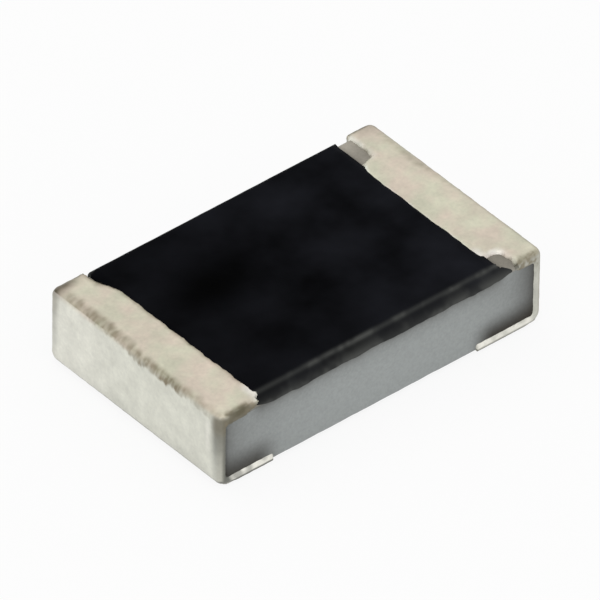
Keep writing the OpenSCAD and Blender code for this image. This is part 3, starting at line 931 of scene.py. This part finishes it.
def fired_alumina(colours):
    """Fired alumina, snapped along scribed lines: a grey, matt, finely granular break, with painted shade
    towards the plating, and a slightly warmer as-fired top."""
    values = {"Specular IOR Level": 0.2, "Roughness": 0.75}
    material, tree, shader, place = new_material("fired_alumina", **values)
    bare = add_node(tree, "ShaderNodeAttribute", attribute_name="bare_top").outputs["Fac"]
    tone = add_node(tree, "ShaderNodeMix", {0: bare, MIX_A: opaque(colours.alumina),
                                            MIX_B: opaque(colours.alumina_top)}, data_type="RGBA")
    # Painted shade towards the plating, above the pads and below the overcoat
    painted_shade = add_node(tree, "ShaderNodeAttribute", attribute_name="painted_shade").outputs["Fac"]
    tone = add_node(tree, "ShaderNodeMix", {0: painted_shade, MIX_A: tone.outputs[MIX_OUT],
                                            MIX_B: opaque(colours.alumina_shade)}, data_type="RGBA")
    # Grains of 3 to 5 micrometres, drawn coarser so that they show
    grain = add_node(tree, "ShaderNodeTexNoise",
                     {"Vector": place, "Scale": 1 / (0.014 * MM), "Detail": 4.0})
    speck = add_node(tree, "ShaderNodeMapRange", {"Value": grain.outputs["Fac"], **NOISE_SPAN,
                                                  "To Min": 0.93, "To Max": 1.06}).outputs["Result"]
    tone = add_node(tree, "ShaderNodeVectorMath",
                    {0: tone.outputs[MIX_OUT], "Scale": speck}, operation="SCALE")
    tree.links.new(tone.outputs[0], shader.inputs["Base Color"])
    bump = add_node(tree, "ShaderNodeBump", {"Height": grain.outputs["Fac"], "Strength": 0.5,
                                             "Distance": 0.002 * MM})
    tree.links.new(bump.outputs["Normal"], shader.inputs["Normal"])
    return material


def layer_finish(name, rgb, grain_size, metallic, roughness):
    """A printed, fired or plated layer that the outer ones cover: an even tone broken by its grain."""
    material, tree, shader, place = new_material(name, Metallic=metallic, Roughness=roughness)
    grain = add_node(tree, "ShaderNodeTexNoise", {"Vector": place, "Scale": 1 / grain_size, "Detail": 3.0})
    speck = add_node(tree, "ShaderNodeMapRange", {"Value": grain.outputs["Fac"], **NOISE_SPAN,
                                                  "To Min": 0.85, "To Max": 1.1}).outputs["Result"]
    tone = add_node(tree, "ShaderNodeVectorMath", {0: tuple(rgb), "Scale": speck}, operation="SCALE")
    tree.links.new(tone.outputs[0], shader.inputs["Base Color"])
    bump = add_node(tree, "ShaderNodeBump", {"Height": grain.outputs["Fac"], "Strength": 0.4,
                                             "Distance": 0.001 * MM})
    tree.links.new(bump.outputs["Normal"], shader.inputs["Normal"])
    return material


def studio_paper(colours, white_share):
    """White paper: matt, a little fibrous, and shown as white to the camera and in mirrored light, with
    part of its own shade kept so that the resistor's shadow stays on it."""
    values = {"Specular IOR Level": 0.0, "Roughness": 0.9}
    material, tree, shader, place = new_material("studio_paper", **values)
    fibre = add_node(tree, "ShaderNodeTexNoise", {"Vector": place, "Scale": 1 / (0.3 * MM), "Detail": 2.0})
    speck = add_node(tree, "ShaderNodeMapRange", {"Value": fibre.outputs["Fac"], "To Min": 0.99,
                                                  "To Max": 1.01}).outputs["Result"]
    tone = add_node(tree, "ShaderNodeVectorMath",
                    {0: tuple(colours.paper), "Scale": speck}, operation="SCALE")
    tree.links.new(tone.outputs[0], shader.inputs["Base Color"])
    seen = seen_rays(tree)
    share = add_node(tree, "ShaderNodeMath", {0: seen, 1: white_share}, operation="MULTIPLY").outputs[0]
    white = add_node(tree, "ShaderNodeEmission", {"Color": WHITE, "Strength": 1.0})
    both = add_node(tree, "ShaderNodeMixShader", {0: share, 1: shader.outputs["BSDF"], 2: white.outputs[0]})
    output = next(n for n in tree.nodes if n.bl_idname == "ShaderNodeOutputMaterial")
    tree.links.new(both.outputs[0], output.inputs["Surface"])
    return material


def seen_rays(tree):
    """1 for what the camera sees straight, in a mirror or through glass, and 0 for light that falls."""
    rays = add_node(tree, "ShaderNodeLightPath").outputs
    some = add_node(tree, "ShaderNodeMath", {0: rays["Is Camera Ray"], 1: rays["Is Glossy Ray"]},
                    operation="MAXIMUM").outputs[0]
    return add_node(tree, "ShaderNodeMath", {0: some, 1: rays["Is Transmission Ray"]},
                    operation="MAXIMUM").outputs[0]


# Operators, one for each piece or group of like pieces and one for the stage

class RESISTOR_OT_ceramic(bpy.types.Operator):
    """Model the ceramic body"""

    bl_idname = "resistor.ceramic"
    bl_label = "Ceramic body"

    def execute(self, context):
        bm = ceramic_sheet(context.scene.resistor_sizes)
        finish_piece(bm, "ceramic_body", fired_alumina(context.scene.resistor_colours),
                     "ceramic_substrate", crease=math.radians(35))
        return {"FINISHED"}


class RESISTOR_OT_layers(bpy.types.Operator):
    """Finish the printed and fired layers that lie under the outer ones"""

    bl_idname = "resistor.layers"
    bl_label = "Inner layers"

    def execute(self, context):
        colours = context.scene.resistor_colours
        # Fired silver is dull and faintly yellow, the fired film dark and matt, the glass greenish and
        # smooth, and the sputtered ends a thin grey metal. Their grains are drawn coarser than the real ones
        silver = layer_finish("fired_silver_print", colours.silver, 0.02 * MM, 1.0, 0.5)
        film = layer_finish("fired_resistive_paste", colours.film, 0.03 * MM, 0.0, 0.6)
        glass = layer_finish("fired_glass_undercoat", colours.glass, 0.05 * MM, 0.0, 0.25)
        alloy = layer_finish("sputtered_end_alloy", colours.end_alloy, 0.02 * MM, 1.0, 0.45)
        finishes = {"resistive_film": film, "glass_undercoat": glass}
        for end in ENDS:
            finishes["top_electrode_" + end] = silver
            finishes["bottom_electrode_" + end] = silver
            finishes["end_electrode_" + end] = alloy
        for name, material in finishes.items():
            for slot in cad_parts[name].material_slots:
                slot.material = material
        return {"FINISHED"}


class RESISTOR_OT_overcoat(bpy.types.Operator):
    """Model the black overcoat"""

    bl_idname = "resistor.overcoat"
    bl_label = "Overcoat"

    def execute(self, context):
        sizes = context.scene.resistor_sizes
        bm = coat_sheet(sizes)
        thicken(bm, sizes.coat_shell)
        finish_piece(bm, "black_overcoat", black_epoxy(context.scene.resistor_colours),
                     "overcoat")
        return {"FINISHED"}


class RESISTOR_OT_nickel(bpy.types.Operator):
    """Model the nickel barriers under the tin"""

    bl_idname = "resistor.nickel"
    bl_label = "Nickel barriers"

    def execute(self, context):
        sizes = context.scene.resistor_sizes
        # Nickel plate is a smooth, slightly yellow grey. Its grain is drawn coarser than the real one
        nickel = layer_finish("nickel_plate", context.scene.resistor_colours.nickel, 0.015 * MM, 1.0, 0.35)
        for end in ENDS:
            tin_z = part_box("tin_plating_" + end)[0].z
            nickel_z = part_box("nickel_barrier_" + end)[0].z
            core_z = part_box("end_electrode_" + end)[0].z
            bm = plating_sheet(EndPlating(end, sizes), sizes.nickel_step, nickel_z - tin_z + sizes.grain)
            thicken(bm, core_z - nickel_z - sizes.grain)
            finish_piece(bm, "nickel_layer_" + end, nickel, "nickel_barrier_" + end)
        return {"FINISHED"}


class RESISTOR_OT_tin(bpy.types.Operator):
    """Model the tin plating of both ends"""

    bl_idname = "resistor.tin"
    bl_label = "Tin plating"

    def execute(self, context):
        sizes = context.scene.resistor_sizes
        tin = matte_tin(context.scene.resistor_colours)
        for end in ENDS:
            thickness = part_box("nickel_barrier_" + end)[0].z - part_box("tin_plating_" + end)[0].z
            bm = plating_sheet(EndPlating(end, sizes), sizes.tin_step, 0.0)
            thicken(bm, thickness - sizes.grain)
            finish_piece(bm, "tin_cap_" + end, tin, "tin_plating_" + end)
        return {"FINISHED"}


class RESISTOR_OT_stage(bpy.types.Operator):
    """Set up the floor, the light and the camera"""

    bl_idname = "resistor.stage"
    bl_label = "Stage"

    def execute(self, context):
        scene = context.scene
        stage = scene.resistor_stage
        scene.view_settings.view_transform = "Standard"
        self.lay_floor(stage, studio_paper(scene.resistor_colours, stage.floor_white))
        self.light(scene, stage)
        self.place_camera(scene, stage)
        return {"FINISHED"}

    def lay_floor(self, stage, paper):
        """A wide sheet of paper under the solder pads."""
        bm = bmesh.new()
        bmesh.ops.create_grid(bm, x_segments=4, y_segments=4, size=stage.floor / 2)
        bmesh.ops.translate(bm, vec=(0, 0, CAD_BOX[0].z), verts=bm.verts)
        floor = mesh_object(bm, "floor", paper)

    def light(self, scene, stage):
        """An even pale sky and one soft lamp from the front left."""
        world = bpy.data.worlds.new("pale_sky")
        world.use_nodes = True
        tree = world.node_tree
        tree.nodes.clear()
        seen = seen_rays(tree)
        level = add_node(tree, "ShaderNodeMapRange", {"Value": seen, "To Min": stage.sky, "To Max": 1.0})
        sky = add_node(tree, "ShaderNodeBackground", {"Color": WHITE, "Strength": level.outputs["Result"]})
        add_node(tree, "ShaderNodeOutputWorld", {"Surface": sky.outputs[0]})
        scene.world = world
        lamp = bpy.data.lights.new("soft_key", "AREA")
        lamp.size = stage.key_size
        # The lamp's brightness gives the wanted level on a facing surface at its distance
        lamp.energy = stage.key * math.pi ** 2 * stage.key_distance ** 2
        key = add_object("soft_key", lamp)
        way = Vector(stage.key_way).normalized()
        key.location = way * stage.key_distance
        key.rotation_euler = way.to_track_quat("Z", "Y").to_euler()

    def place_camera(self, scene, stage):
        """A far camera at the photograph's angle, with the resistor where the photograph has it."""
        az, el, roll = stage.azimuth, stage.elevation, stage.roll
        back = Vector((math.sin(az) * math.cos(el), -math.cos(az) * math.cos(el), math.sin(el)))
        level = Vector((math.cos(az), math.sin(az), 0))
        upright = back.cross(level)
        right = level * math.cos(roll) + upright * math.sin(roll)
        up = upright * math.cos(roll) - level * math.sin(roll)
        camera = bpy.data.cameras.new("camera")
        camera.lens = camera.sensor_width * stage.distance * PX_PER_M / IMAGE_PX
        camera.clip_start = 0.01 * stage.distance
        camera.clip_end = 100 * stage.distance
        middle = (CAD_BOX[0] + CAD_BOX[1]) / 2
        aside = [(IMAGE_PX / 2 - px) / PX_PER_M for px in MIDDLE_PX]
        eye = add_object("camera", camera)
        eye.location = middle + back * stage.distance + right * aside[0] - up * aside[1]
        turn = [[r, u, b] for r, u, b in zip(right, up, back)]
        eye.rotation_euler = Matrix(turn).to_euler()
        scene.camera = eye


class RESISTOR_PT_panel(bpy.types.Panel):
    """Lists the pieces of the resistor"""

    bl_idname = "RESISTOR_PT_panel"
    bl_label = "Chip resistor"
    bl_space_type = "VIEW_3D"
    bl_region_type = "UI"
    bl_category = "Resistor"

    def draw(self, context):
        for step in STEPS:
            self.layout.operator(step.bl_idname)
        for group in ("resistor_sizes", "resistor_colours", "resistor_stage"):
            held = getattr(context.scene, group)
            box = self.layout.box()
            for name in held.__annotations__:
                box.prop(held, name)


STEPS = (RESISTOR_OT_stage, RESISTOR_OT_ceramic, RESISTOR_OT_layers, RESISTOR_OT_overcoat,
         RESISTOR_OT_nickel, RESISTOR_OT_tin)
CLASSES = (ResistorSizes, ResistorColours, ResistorStage, *STEPS, RESISTOR_PT_panel)


def register():
    for cls in CLASSES:
        bpy.utils.register_class(cls)
    bpy.types.Scene.resistor_sizes = PointerProperty(type=ResistorSizes)
    bpy.types.Scene.resistor_colours = PointerProperty(type=ResistorColours)
    bpy.types.Scene.resistor_stage = PointerProperty(type=ResistorStage)


def unregister():
    del bpy.types.Scene.resistor_stage
    del bpy.types.Scene.resistor_colours
    del bpy.types.Scene.resistor_sizes
    for cls in reversed(CLASSES):
        bpy.utils.unregister_class(cls)


def main():
    """Makes every piece."""
    register()
    bpy.ops.resistor.stage()
    bpy.ops.resistor.ceramic()
    bpy.ops.resistor.layers()
    bpy.ops.resistor.overcoat()
    bpy.ops.resistor.nickel()
    bpy.ops.resistor.tin()


if __name__ == "__main__":
    main()
